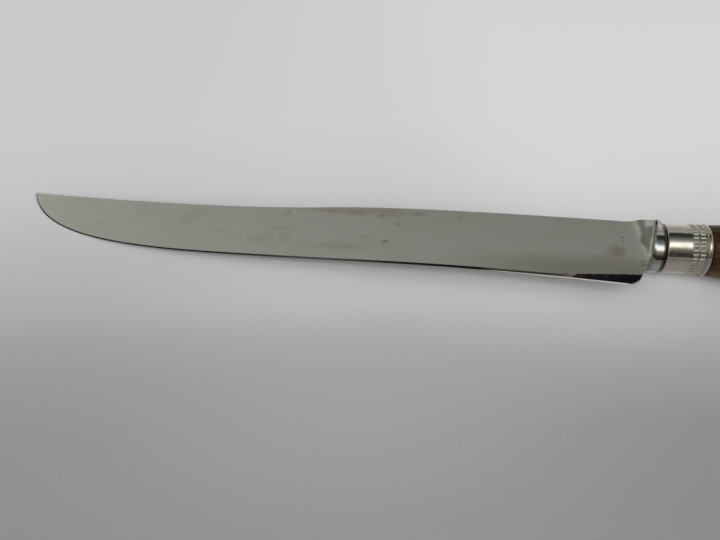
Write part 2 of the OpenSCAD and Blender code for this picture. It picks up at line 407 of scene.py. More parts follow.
@dataclass(frozen=True)
class SteelPlace:
    """Where a point of the steel lies, and how much it belongs to each ground or forged zone."""

    place: Socket
    x: Socket
    y: Socket
    radius: Socket
    # How squarely it faces the way of the edge
    lean: Socket
    heel: Socket
    bevel: Socket
    honed: Socket
    neck: Socket
    # The bolster's band, and the round part of it
    band: Socket
    rounded: Socket


@dataclass(frozen=True)
class GroundSteel:
    """Old carbon steel: satin cheeks with faint lines and stains, a polished bevel with a painted dark
    reflection, bright bolster, painted light and dark bands on the neck, and painted shade about the bolster.
    """

    name: str = "ground_steel"
    colour: Colour = (0.475, 0.47, 0.435)
    line: Colour = (0.97, 0.97, 0.97)
    olive: Colour = (0.36, 0.34, 0.27)
    low: Colour = (0.325, 0.315, 0.265)
    stain: Colour = (0.3, 0.275, 0.215)
    pit: Colour = (0.1, 0.09, 0.08)
    # Dark smudges and smears on the neck; the same colour is painted shade on the bolster's ledge
    dark_patch: Colour = (0.17, 0.16, 0.15)
    # Painted dark reflection: the bevel is coloured near black, and a little less dark at the heel
    edge: Colour = (0.03, 0.025, 0.024)
    heel_bevel: Colour = (0.1, 0.11, 0.125)
    bright: Colour = (0.5, 0.48, 0.44)
    buffed: Colour = (0.6, 0.6, 0.57)
    # Painted shade over the bolster's last millimetre, at the seam before the ferrule
    seam: Colour = (0.05, 0.045, 0.04)
    # Painted shade on the bolster's side that faces the way of the edge
    belly: Colour = (0.62, 0.62, 0.6)
    # Painted light and dark ring bands on the neck, standing in for reflections
    ring: Colour = (1.0, 1.0, 0.96)

    # How much of each colour shows at the most; the ledge and the seam are painted shade
    olive_share: float = 0.16
    low_share: float = 0.95
    pit_share: float = 0.85
    grime_share: float = 0.6
    ledge_share: float = 0.8
    seam_share: float = 0.9

    # Roughness of the cheeks, what a stain adds to it, and that of the bevel, the neck and the bolster
    satin: Ends = (0.21, 0.3)
    stain_rough: float = 0.15
    bevel_rough: float = 0.12
    neck_rough: float = 0.16
    polish: Ends = (0.065, 0.115)

    # Borders of the zones along the knife
    blade_from: Ends = (-5.6, -6.8)
    honed_from: Ends = (-56.0, -46.0)
    heel_from: Ends = (-24.0, -16.0)
    low_from: Ends = (-78.0, -22.0)
    neck_from: Ends = (-8.6, -7.0)
    ledge_from: Ends = (-5.4, -4.6)
    band_from: Ends = (-4.4, -2.6)
    edge_side_shade_from: Ends = (-6.0, -4.5)
    seam_from: Ends = (-1.2, -0.7)

    # Borders across the knife, over it and round its axis
    low_under: Ends = (-4.0, -12.0)
    neck_height: Ends = (7.0, 5.0)
    neck_radius: float = 7.0
    ledge_radius: Ends = (6.3, 6.9)
    round_radius: Ends = (7.2, 7.6)

    # Borders by how squarely a surface faces the way of the edge, and for the ledge that of the tip
    bevel_lean: Ends = (0.06, 0.12)
    honed_lean: Ends = (0.62, 0.67)
    edge_side_shade_lean: Ends = (0.88, 0.95)
    ledge_facing: Ends = (0.35, 0.65)

    # Grinding lines that show as colour, and finer ones that show in the gloss and as relief
    lines: Clouds = Clouds(1.1, (0.035, 1.0, 0.4), detail=4.0, rough=0.6)
    lines_seen: Ends = (0.3, 0.75)
    fine: Clouds = Clouds(1.6, (0.06, 1.0, 0.4), detail=2.0)
    fine_seen: Ends = (0.2, 0.8)
    fine_relief: Relief = Relief(0.08, 0.01)
    # Broad olive clouds
    haze: Clouds = Clouds(0.03, detail=4.0, rough=0.6, twist=0.4)
    haze_seen: Ends = (0.42, 0.7)

    # Noise that frays the stains' rims, and the stains from tip to neck
    ragged: Clouds = Clouds(0.55, (0.45, 1.0, 1.0), detail=6.0, rough=0.68)
    stains: tuple[Stain, ...] = (
        Stain((-193.0, -1.3), (2.6, 1.6), 0.25),
        Stain((-179.0, 3.6), (2.2, 1.0), 0.25),
        Stain((-158.0, 4.5), (5.0, 4.5), 0.28),
        Stain((-146.7, -2.4), (3.4, 1.6), 0.22),
        Stain((-129.0, -5.8), (5.0, 2.4), 0.28),
        Stain((-123.0, 0.4), (3.0, 1.4), 0.3),
        Stain((-122.4, 8.0), (1.4, 2.2), 0.6),
        Stain((-120.5, -5.0), (2.4, 2.4), 0.28),
        Stain((-107.7, 10.2), (2.0, 1.3), 1.0),
        Stain((-106.9, -7.2), (2.4, 1.3), 0.3),
        Stain((-101.0, -7.6), (13.0, 2.4), 0.3),
        Stain((-97.0, 10.6), (24.0, 2.6), 0.6),
        Stain((-96.6, 9.6), (3.8, 1.7), 1.0),
        Stain((-95.3, -8.2), (3.8, 1.4), 0.2),
        Stain((-92.7, -2.6), (3.0, 1.6), 0.28),
        Stain((-89.2, 8.7), (1.5, 1.3), 0.9),
        Stain((-86.2, -4.3), (1.3, 1.1), 0.95),
        Stain((-82.4, 4.4), (1.2, 0.9), 0.6),
        Stain((-76.8, 10.2), (2.4, 1.2), 0.8),
        Stain((-62.0, 9.0), (1.6, 1.7), 0.5),
        Stain((-32.0, -9.0), (16.0, 3.0), 0.2),
        Stain((-16.0, -8.0), (7.0, 2.6), 0.35),
        Stain((-13.3, -3.8), (2.6, 3.4), 0.7),
    )

    pits: tuple[Pit, ...] = (
        Pit((-186.0, 5.5), 0.2),
        Pit((-140.5, -3.0), 0.2),
        Pit((-61.0, 6.0), 0.2),
        Pit((-10.6, 0.8), 0.42),
        Pit((-10.5, 2.8), 0.47),
    )
    pit_relief: Relief = Relief(0.5, -0.05)
    # Fine specks lie in rare cells of a net: cells per millimetre, how rare those are, and a speck's rim
    speck_cells: float = 0.16
    speck_rare: float = 0.94
    speck_rim: Ends = (0.035, 0.015)

    # Dark smears on the neck, and two darker smudges
    smears: Clouds = Clouds(0.7, (1.3, 0.4, 0.4), detail=5.0, rough=0.7, twist=0.5)
    smears_seen: Ends = (0.54, 0.74)
    smudges: tuple[Stain, ...] = (
        Stain((-5.0, 1.3), (1.0, 2.6), 0.85),
        Stain((-2.4, 3.4), (0.9, 2.4), 0.75),
    )

    # Painted light and dark ring bands on the hand-polished neck, standing in for the reflections in its
    # grinding ripples, from front to back: place along the knife and brightness
    rings: tuple[tuple[float, float], ...] = (
        (-8.0, 1.0),
        (-6.3, 0.95),
        (-5.7, 1.2),
        (-5.3, 1.24),
        (-4.7, 0.8),
        (-4.2, 0.56),
        (-3.5, 0.55),
        (-2.9, 0.62),
        (-2.3, 0.6),
        (-1.5, 0.5),
    )
    # How far the rings slant for each millimetre across, and how noise pushes them about
    ring_slant: float = 0.06
    ring_waves: Clouds = Clouds(0.5, detail=4.0)
    ring_waves_seen: Ends = (0.2, 0.8)
    ring_sway: Ends = (-0.35, 0.35)
    # The rings' brightness is halved in their ramp and doubled after it
    ring_halved: float = 0.5

    # Hand polishing has turned the bolster's round a little further over, in degrees
    round_turn: float = -10.0

    def locate(self, n: Nodes) -> SteelPlace:
        """Finds out where a point of the steel lies.

        Args:
            n: The material's tree.

        Returns:
            Its place and its share of each zone.
        """
        place = n.knife_place()
        x, y, z = n.split(place)
        radius = n.radius(place)
        lean = n.facing(TO_EDGE)
        on_blade = n.span(x, self.blade_from)
        band = n.span(x, self.band_from)
        return SteelPlace(
            place=place,
            x=x,
            y=y,
            radius=radius,
            lean=lean,
            heel=n.span(x, self.heel_from),
            bevel=n.times(n.span(lean, self.bevel_lean), on_blade),
            honed=n.times(n.span(lean, self.honed_lean), on_blade, n.span(x, self.honed_from)),
            neck=n.times(n.span(x, self.neck_from), n.span(n.math("ABSOLUTE", z), self.neck_height)),
            band=band,
            rounded=n.times(band, n.span(radius, self.round_radius)),
        )

    def stained(self, n: Nodes, at: SteelPlace) -> Socket:
        """How much of the stains shows.

        Args:
            n: The material's tree.
            at: Where the point lies.

        Returns:
            The share, from 0 to 1.
        """
        ragged = n.noise(at.place, self.ragged)
        share: Value = 0.0
        for stain in self.stains:
            share = n.most(share, stain.share(n, at.x, at.y, ragged))
        return share

    def pitted(self, n: Nodes, at: SteelPlace) -> Socket:
        """How much of the pits and of the rare fine specks shows.

        Args:
            n: The material's tree.
            at: Where the point lies.

        Returns:
            The share, from 0 to 1.
        """
        flat = n.add("CombineXYZ", {0: at.x, 1: at.y}).outputs[0]
        share: Value = 0.0
        for pit in self.pits:
            share = n.most(share, pit.share(n, flat))
        net = {"Vector": at.place, "Scale": self.speck_cells, "Randomness": 1.0}
        cells = n.add("TexVoronoi", net).outputs
        rare = n.beyond(n.split(cells["Color"])[0], self.speck_rare)
        return n.most(share, n.times(n.span(cells["Distance"], self.speck_rim), rare))

    def ground(self, n: Nodes, at: SteelPlace, stained: Socket) -> Socket:
        """The colour of the ground cheeks, the bevel with its painted dark reflection, and the honed strip.

        Args:
            n: The material's tree.
            at: Where the point lies.
            stained: How much of the stains shows.

        Returns:
            The colour.
        """
        lined = n.span(n.noise(at.place, self.lines), self.lines_seen)
        hazy = n.span(n.noise(at.place, self.haze), self.haze_seen)
        low = n.times(n.span(at.y, self.low_under), n.span(at.x, self.low_from), self.low_share)
        tone = n.colour(self.colour, self.line, lined, Blend.MULTIPLY)
        tone = n.colour(tone, self.olive, n.times(hazy, self.olive_share))
        tone = n.colour(tone, self.stain, stained)
        tone = n.colour(tone, self.low, low)
        # Painted dark reflection on the bevel; the honed strip lightens it again only towards the heel
        tone = n.colour(tone, n.colour(self.edge, self.heel_bevel, at.heel), at.bevel)
        return n.colour(tone, self.bright, at.honed)

    def painted_ring_bands(self, n: Nodes, at: SteelPlace, tone: Socket) -> Socket:
        """Lays the neck's painted light and dark ring bands, which stand in for reflections in its grinding
        ripples, over a colour.

        Args:
            n: The material's tree.
            at: Where the point lies.
            tone: The colour beneath.

        Returns:
            The colour with the painted ring bands.
        """
        first, last = self.rings[0][0], self.rings[-1][0]
        stops = []
        for place, brightness in self.rings:
            halved = brightness * self.ring_halved
            stops.append(((place - first) / (last - first), tuple(part * halved for part in self.ring)))
        slanted = n.plus(at.x, n.times(at.y, self.ring_slant))
        sway = n.span(n.noise(at.place, self.ring_waves), self.ring_waves_seen, self.ring_sway)
        rings = n.ramp(n.evenly(n.plus(slanted, sway), (first, last)), stops)
        tone = n.colour(tone, rings, 1.0, Blend.MULTIPLY)
        return n.colour(tone, (1 / self.ring_halved,) * 3, 1.0, Blend.MULTIPLY)

    def neck(self, n: Nodes, at: SteelPlace, tone: Socket) -> Socket:
        """Lays the forged neck's painted light and dark ring bands, its smears and its smudges over the
        steel.

        Args:
            n: The material's tree.
            at: Where the point lies.
            tone: The colour beneath.

        Returns:
            The colour with the neck.
        """
        smears = n.noise(at.place, self.smears)
        grimy = n.span(smears, self.smears_seen, (0.0, self.grime_share))
        for dark_patch in self.smudges:
            grimy = n.most(grimy, dark_patch.share(n, at.x, at.y, smears))
        # Painted light and dark ring bands, with the neck's real smears and smudges over them
        worked = n.colour(self.painted_ring_bands(n, at, tone), self.dark_patch, grimy)
        on_band = n.times(n.beyond(at.radius, self.neck_radius), at.band)
        return n.colour(tone, worked, n.times(at.neck, n.minus(1.0, on_band)))

    def bolster(self, n: Nodes, at: SteelPlace, tone: Socket) -> Socket:
        """Buffs the bolster's round, and paints shade on its ledge, on its side that faces the way of the
        edge and on the seam behind it.

        Args:
            n: The material's tree.
            at: Where the point lies.
            tone: The colour beneath.

        Returns:
            The colour with the bolster.
        """
        # Painted shade on the bolster's ledge that faces the tip
        ledge = n.times(n.span(n.facing(TO_TIP), self.ledge_facing), n.span(at.x, self.ledge_from))
        ledge = n.times(ledge, n.span(at.radius, self.ledge_radius), self.ledge_share)
        # Painted shade on the side that faces the way of the edge
        edge_side_shade = n.times(n.span(at.lean, self.edge_side_shade_lean), n.span(at.x, self.edge_side_shade_from))
        tone = n.colour(tone, self.buffed, at.rounded)
        tone = n.colour(tone, self.dark_patch, ledge)
        tone = n.colour(tone, self.belly, edge_side_shade, Blend.MULTIPLY)
        # Painted shade over the last millimetre before the ferrule
        return n.colour(tone, self.seam, n.times(n.span(at.x, self.seam_from), self.seam_share))

    def roughness(self, n: Nodes, at: SteelPlace, fine: Socket, stained: Socket) -> Socket:
        """How rough the steel is.

        Args:
            n: The material's tree.
            at: Where the point lies.
            fine: Noise of the fine grinding lines.
            stained: How much of the stains shows.

        Returns:
            The roughness.
        """
        rough = n.plus(n.span(fine, self.fine_seen, self.satin), n.times(stained, self.stain_rough))
        rough = n.mixed(rough, self.bevel_rough, at.bevel)
        rough = n.mixed(rough, self.neck_rough, at.neck)
        return n.mixed(rough, n.span(fine, self.fine_seen, self.polish), at.band)

    def polished_over(self, n: Nodes, at: SteelPlace) -> Socket:
        """The steel's normal, which hand polishing has turned on the bolster's round.

        Args:
            n: The material's tree.
            at: Where the point lies.

        Returns:
            The normal's socket.
        """
        inputs = {
            "Vector": n.add("NewGeometry").outputs["Normal"],
            "Axis": tuple(REST.turn() @ Vector(TO_BUTT)),
            "Angle": n.times(at.rounded, math.radians(self.round_turn)),
        }
        return n.add("VectorRotate", inputs, rotation_type="AXIS_ANGLE").outputs[0]

    def material(self) -> bpy.types.Material:
        """Makes the finish.

        Returns:
            The finished material.
        """
        n = Nodes(self.name)
        at = self.locate(n)
        stained = self.stained(n, at)
        pitted = self.pitted(n, at)
        fine = n.noise(at.place, self.fine)
        tone = self.neck(n, at, self.ground(n, at, stained))
        tone = n.colour(tone, self.pit, n.times(pitted, self.pit_share))
        tone = self.bolster(n, at, tone)
        normal = n.bump(fine, self.fine_relief, self.polished_over(n, at))
        normal = n.bump(pitted, self.pit_relief, normal)
        rough = self.roughness(n, at, fine, stained)
        return n.shader(Base_Color=tone, Metallic=1.0, Roughness=rough, Normal=normal)


@dataclass(frozen=True)
class NickelPlate:
    """Polished nickel plate over a pressed shell, a little warm, darkened in the hollows between the beads by
    tarnished plating and painted shade, with painted shade at its lip, groove, rim and edge side.
    """

    name: str = "nickel_plate"
    colour: Colour = (0.7, 0.675, 0.6)
    worn: Colour = (0.56, 0.5, 0.4)
    # Tarnished plating, and painted shade at the lip, the groove, the rim and between the beads
    tarnish_and_shade: Colour = (0.16, 0.13, 0.1)
    # Painted shade on the ferrule's side that faces the way of the edge
    belly: Colour = (0.64, 0.63, 0.6)

    # How much of the worn colour, and of the dark colour of tarnished plating and painted shade, shows at the
    # most
    cloud_share: float = 0.45
    scuff_share: float = 0.4
    lip_share: float = 0.9
    rim_share: float = 0.35
    groove_share: float = 0.75
    # Darkening between the beads, from tarnished plating all round and deeper in front from painted shade,
    # and how much of it uneven wear has left
    grime_share: Ends = (0.3, 0.85)
    grime_left: Ends = (0.6, 1.0)

    # Roughness of the plain plate, and what the beads, the rim and grime add to it
    smooth: Ends = (0.06, 0.18)
    bead_rough: float = 0.02
    rim_rough: float = 0.05
    grime_rough: float = 0.3

    # Borders along the knife
    # Painted shade on the lip's front, in the seam behind the bolster
    lip_until: Ends = (0.75, 0.35)
    beads_from: Ends = (6.8, 7.3)
    beads_until: Ends = (11.3, 11.0)
    hollows_from: Ends = (6.7, 7.5)
    # Painted shade in the groove before the rim, on the face that faces the tip
    groove_from: Ends = (10.9, 11.3)
    rim_from: Ends = (11.2, 11.6)
    # Painted shade that dims the rim's back, towards the handle
    rim_shade_from: Ends = (11.9, 12.4)

    # Borders round its axis, and by how squarely a surface faces the way of the edge or that of the tip
    hollow_radius: Ends = (7.83, 7.73)
    # Between these borders of facing, painted shade deepens the darkening between the beads
    front_from: Ends = (0.28, 0.45)
    front_until: Ends = (0.9, 0.8)
    edge_side_shade_lean: Ends = (0.88, 0.95)
    groove_facing: Ends = (0.15, 0.5)

    # Wear in clouds, scuffs along the knife, the swirls of polishing, and the shell's soft waves
    clouds: Clouds = Clouds(0.35, detail=5.0, rough=0.6)
    clouds_seen: Ends = (0.42, 0.72)
    clouds_on_grime: Ends = (0.2, 0.6)
    scuffs: Clouds = Clouds(1.1, (0.12, 1.0, 1.0), detail=5.0, rough=0.7, twist=0.3)
    scuffs_seen: Ends = (0.55, 0.75)
    swirls: Clouds = Clouds(2.4, (0.3, 1.0, 1.0), detail=4.0)
    swirls_seen: Ends = (0.25, 0.8)
    swirl_relief: Relief = Relief(0.1, 0.02)
    waves: Clouds = Clouds(0.9, detail=2.0)
    wave_relief: Relief = Relief(0.12, 0.05)

    def grimy(self, n: Nodes, place: Socket, clouds: Socket) -> Socket:
        """How much the hollows between the beads are darkened: tarnished plating all round, deepened in front
        by painted shade.

        Args:
            n: The material's tree.
            place: Where the point lies.
            clouds: Noise of the uneven wear.

        Returns:
            The share, from 0 to 1.
        """
        x, _, _ = n.split(place)
        lean = n.facing(TO_EDGE)
        between = n.times(n.span(n.radius(place), self.hollow_radius), n.span(x, self.hollows_from))
        in_front = n.times(n.span(lean, self.front_from), n.span(lean, self.front_until))
        left = n.span(clouds, self.clouds_on_grime, self.grime_left)
        return n.times(between, n.times(left, n.mixed(*self.grime_share, in_front)))

    def tone(self, n: Nodes, place: Socket, clouds: Socket, grimy: Socket) -> Socket:
        """The plate's colour, with its wear, its tarnished hollows and its painted shade.

        Args:
            n: The material's tree.
            place: Where the point lies.
            clouds: Noise of the uneven wear.
            grimy: How much of the dark colour shows between the beads, tarnished plating and painted shade
                together.

        Returns:
            The colour.
        """
        x, _, _ = n.split(place)
        scuffed = n.span(n.noise(place, self.scuffs), self.scuffs_seen)
        # Painted shade on the lip's front, in the seam behind the bolster
        lip = n.times(n.span(x, self.lip_until), self.lip_share)
        # Painted shade in the groove before the rim
        groove = n.span(n.facing(TO_TIP), self.groove_facing)
        groove = n.times(groove, n.span(x, self.groove_from, (0.0, self.groove_share)))
        tone = n.colour(self.colour, self.worn, n.times(n.span(clouds, self.clouds_seen), self.cloud_share))
        tone = n.colour(tone, self.worn, n.times(scuffed, self.scuff_share))
        # Tarnished plating and painted shade between the beads, with painted shade on the lip
        tone = n.colour(tone, self.tarnish_and_shade, n.most(grimy, lip))
        # Painted shade that dims the rim's back
        tone = n.colour(tone, self.tarnish_and_shade, n.span(x, self.rim_shade_from, (0.0, self.rim_share)))
        tone = n.colour(tone, self.tarnish_and_shade, groove)
        # Painted shade on the side that faces the way of the edge
        return n.colour(tone, self.belly, n.span(n.facing(TO_EDGE), self.edge_side_shade_lean), Blend.MULTIPLY)

    def roughness(self, n: Nodes, place: Socket, swirls: Socket, grimy: Socket) -> Socket:
        """How rough the plate is.

        Args:
            n: The material's tree.
            place: Where the point lies.
            swirls: Noise of the polishing.
            grimy: How much of the dark colour shows between the beads, tarnished plating and painted shade
                together.

        Returns:
            The roughness.
        """
        x, _, _ = n.split(place)
        beads = n.times(n.span(x, self.beads_from), n.span(x, self.beads_until), self.bead_rough)
        rim = n.times(n.span(x, self.rim_from), self.rim_rough)
        dull = n.plus(n.times(grimy, self.grime_rough), n.plus(beads, rim))
        return n.plus(n.span(swirls, self.swirls_seen, self.smooth), dull)

    def material(self) -> bpy.types.Material:
        """Makes the finish.

        Returns:
            The finished material.
        """
        n = Nodes(self.name)
        place = n.knife_place()
        clouds = n.noise(place, self.clouds)
        swirls = n.noise(place, self.swirls)
        grimy = self.grimy(n, place, clouds)
        tone = self.tone(n, place, clouds, grimy)
        rough = self.roughness(n, place, swirls, grimy)
        normal = n.bump(n.noise(place, self.waves), self.wave_relief)
        normal = n.bump(swirls, self.swirl_relief, normal)
        return n.shader(Base_Color=tone, Metallic=1.0, Roughness=rough, Normal=normal)


@dataclass(frozen=True)
class DarkHardwood:
    """Dark brown hardwood under an old gloss, with the grain along the handle."""

    name: str = "dark_hardwood"
    colour: Colour = (0.04, 0.0185, 0.007)
    streak: Colour = (0.017, 0.008, 0.0032)
    warm: Colour = (0.072, 0.034, 0.012)
    # Painted light: the wood is made lighter by this much where it faces the way of the edge, standing in for
    # the light it takes from the paper in front
    painted_edge_side_light: Colour = (1.5, 1.45, 1.4)
    painted_edge_side_light_lean: Ends = (0.5, 0.98)

    # The grain is drawn out along the handle, and noise bends it across by up to this many millimetres
    bends: Clouds = Clouds(0.12, (0.25, 1.0, 1.0), detail=2.0)
    bend: float = 5.0
    drawn_out: Point = (0.035, 1.0, 0.75)
    grain: Clouds = Clouds(0.75, detail=6.0, rough=0.6, twist=0.3)
    streaks_seen: Ends = (0.42, 0.62)
    warm_seen: Ends = (0.46, 0.3)
    warm_share: float = 0.6

    pores: Clouds = Clouds(1.6, (0.12, 3.2, 3.2), detail=3.0, rough=0.7)
    pores_seen: Ends = (0.62, 0.72)
    pore_share: float = 0.7
    pore_relief: Relief = Relief(0.3, -0.04)
    hollows: Clouds = Clouds(0.25, detail=3.0)
    hollow_relief: Relief = Relief(0.3, 0.12)

    wear: Clouds = Clouds(0.09, detail=5.0, rough=0.6)
    wear_seen: Ends = (0.35, 0.75)
    rough: Ends = (0.22, 0.36)
    reflection: float = 0.1
    gloss: float = 0.12
    gloss_rough: float = 0.06

    def drawn_grain(self, n: Nodes, place: Socket) -> Socket:
        """The grain's noise.

        Args:
            n: The material's tree.
            place: Where the point lies.

        Returns:
            The noise's value.
        """
        bend = n.add("CombineXYZ", {1: n.times(n.noise(place, self.bends), self.bend)}).outputs[0]
        drawn = n.stretched(place, self.drawn_out)
        bent = n.add("VectorMath", {0: drawn, 1: bend}, operation="ADD").outputs[0]
        return n.noise(bent, self.grain)

    def tone(self, n: Nodes, place: Socket, porous: Socket) -> Socket:
        """The wood's colour, with painted light on the side that faces the way of the edge.

        Args:
            n: The material's tree.
            place: Where the point lies.
            porous: How much of the pores shows.

        Returns:
            The colour.
        """
        grain = self.drawn_grain(n, place)
        # Painted light on the side that faces the way of the edge
        painted_light_share = n.span(n.facing(TO_EDGE), self.painted_edge_side_light_lean)
        tone = n.colour(self.colour, self.streak, n.span(grain, self.streaks_seen))
        tone = n.colour(tone, self.warm, n.times(n.span(grain, self.warm_seen), self.warm_share))
        tone = n.colour(tone, self.streak, n.times(porous, self.pore_share))
        return n.colour(tone, n.colour(tone, self.painted_edge_side_light, 1.0, Blend.MULTIPLY), painted_light_share)

    def material(self) -> bpy.types.Material:
        """Makes the finish.

        Returns:
            The finished material.
        """
        n = Nodes(self.name)
        place = n.knife_place()
        porous = n.span(n.noise(place, self.pores), self.pores_seen)
        normal = n.bump(porous, self.pore_relief)
        normal = n.bump(n.noise(place, self.hollows), self.hollow_relief, normal)
        return n.shader(
            Base_Color=self.tone(n, place, porous),
            Roughness=n.span(n.noise(place, self.wear), self.wear_seen, self.rough),
            Normal=normal,
            Specular_IOR_Level=self.reflection,
            Coat_Weight=self.gloss,
            Coat_Roughness=self.gloss_rough,
        )


@dataclass(frozen=True)
class CutlersResin:
    """The dull dark resin that holds the tang."""

    name: str = "cutlers_resin"
    colour: Colour = (0.045, 0.032, 0.024)
    dust: Colour = (0.09, 0.065, 0.05)
    grit: Clouds = Clouds(1.4, detail=5.0, rough=0.7)
    dust_seen: Ends = (0.4, 0.7)
    grit_seen: Ends = (0.3, 0.7)
    grit_relief: Relief = Relief(0.5, 0.1)
    rough: Ends = (0.6, 0.85)

    def material(self) -> bpy.types.Material:
        """Makes the finish.

        Returns:
            The finished material.
        """
        n = Nodes(self.name)
        grit = n.noise(n.knife_place(), self.grit)
        tone = n.colour(self.colour, self.dust, n.span(grit, self.dust_seen))
        rough = n.span(grit, self.grit_seen, self.rough)
        return n.shader(Base_Color=tone, Roughness=rough, Normal=n.bump(grit, self.grit_relief))


@dataclass(frozen=True)
class Paper:
    """Smooth pale paper with painted shade and light in its colour: darkest in front of the knife, and
    lightest behind it to the right.
    """

    name: str = "pale_paper"
    # Tones at places along the way ahead, in metres, on the left, in the middle and on the right: painted
    # shade darkens the paper towards the camera, and painted light lifts it just in front of the knife
    # against the knife's shadow
    places: tuple[float, ...] = (-1.2, -0.45, -0.09, -0.065, -0.045, -0.03, -0.0175, 0.05, 0.1, 0.26)
    left: tuple[float, ...] = (0.7, 0.5, 0.323, 0.34, 0.375, 0.417, 0.49, 0.668, 0.713, 0.714)
    middle: tuple[float, ...] = (0.7, 0.5, 0.357, 0.407, 0.43, 0.493, 0.6, 0.712, 0.755, 0.757)
    right: tuple[float, ...] = (0.7, 0.5, 0.308, 0.33, 0.43, 0.6, 0.76, 0.82, 0.825, 0.8)
    # Where the left passes into the middle, and the middle into the right, in metres to the right
    left_to_middle: Ends = (-0.14, -0.045)
    middle_to_right: Ends = (-0.045, 0.05)
    tint: Colour = (0.99, 0.978, 1.0)

    fibre: Colour = (0.97, 0.97, 0.97)
    fibres: Clouds = Clouds(900.0, detail=3.0)
    fibres_seen: Ends = (0.3, 0.7)
    fibre_relief: Relief = Relief(0.1, 0.05)
    rough: float = 0.75
    reflection: float = 0.2

    def graded(self, n: Nodes, share: Socket, tones: tuple[float, ...]) -> Socket:
        """The paper's colour along one line ahead.

        Args:
            n: The material's tree.
            share: Place along the line, from 0 to 1.
            tones: Tones at the listed places.

        Returns:
            The colour.
        """
        low, high = self.places[0], self.places[-1]
        stops = []
        for place, tone in zip(self.places, tones):
            stops.append(((place - low) / (high - low), tuple(tone * part for part in self.tint)))
        return n.ramp(share, stops)

    def material(self, away: Vector, aside: Vector) -> bpy.types.Material:
        """Makes the finish.

        Args:
            away: The level direction from the camera to the knife.
            aside: The level direction to the camera's right.

        Returns:
            The finished material.
        """
        n = Nodes(self.name)
        place = n.add("TexCoord").outputs["Object"]
        across = n.along(place, tuple(aside))
        share = n.evenly(n.along(place, tuple(away)), (self.places[0], self.places[-1]))
        left, middle, right = (self.graded(n, share, tones) for tones in (self.left, self.middle, self.right))
        fibres = n.noise(place, self.fibres)
        tone = n.colour(left, middle, n.span(across, self.left_to_middle))
        tone = n.colour(tone, right, n.span(across, self.middle_to_right))
        tone = n.colour(tone, self.fibre, n.span(fibres, self.fibres_seen), Blend.MULTIPLY)
        return n.shader(
            Base_Color=tone,
            Roughness=self.rough,
            Specular_IOR_Level=self.reflection,
            Normal=n.bump(fibres, self.fibre_relief),
        )


@dataclass
class CadPiece:
    """A CAD solid that stays, in a finish of its own."""

    node: str
    finish: GroundSteel | NickelPlate | CutlersResin

    def dress(self) -> bpy.types.Object:
        """Gives the solid its finish.

        Returns:
            The dressed solid.
        """
        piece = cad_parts[self.node]
        piece.data.materials.clear()
        piece.data.materials.append(self.finish.material())
        return piece


@dataclass
class Blade(CadPiece):
    """The forged blade, with its neck, bolster and tang."""

    node: str = "blade"
    finish: GroundSteel = GroundSteel()


@dataclass
class Ferrule(CadPiece):
    """The plated collar between bolster and handle."""

    node: str = "ferrule"
    finish: NickelPlate = NickelPlate()


@dataclass
class TangCement(CadPiece):
    """The resin round the tang."""

    node: str = "tang_cement"
    finish: CutlersResin = CutlersResin()


def loft(name: str, rings: list[list[Point]]) -> bpy.types.Object:
    """Makes a closed tube through rings that have the same number of points, with a cap on each end.

    Args:
        name: Name of the piece.
        rings: Rings of points in the knife's frame, in millimetres.

    Returns:
        The new object, at rest on the table.
    """
    place = REST.to_table()
    count = len(rings[0])
    last = (len(rings) - 1) * count
    points = [place @ Vector(point) for ring in rings for point in ring]
    faces = []
    for start in range(0, last, count):
        for k in range(count):
            a, b = start + k, start + (k + 1) % count
            faces.append((a, b, b + count, a + count))
    faces.append(tuple(range(count - 1, -1, -1)))
    faces.append(tuple(range(last, last + count)))
    mesh = bpy.data.meshes.new(name)
    mesh.from_pydata(points, [], faces)
    mesh.validate()
    mesh.shade_smooth()
    piece = bpy.data.objects.new(name, mesh)
    bpy.context.scene.collection.objects.link(piece)
    return piece


@dataclass(frozen=True)
class Profile:
    """A cubic curve of heights over the handle's axis, drawn by those at its front, palm, waist and butt."""

    front: float
    palm: float
    waist: float
    butt: float

    def at(self, t: float) -> float:
        """The height at a share t of the handle's length."""
        s = 1 - t
        return self.front * s**3 + 3 * self.palm * s * s * t + 3 * self.waist * s * t * t + self.butt * t**3


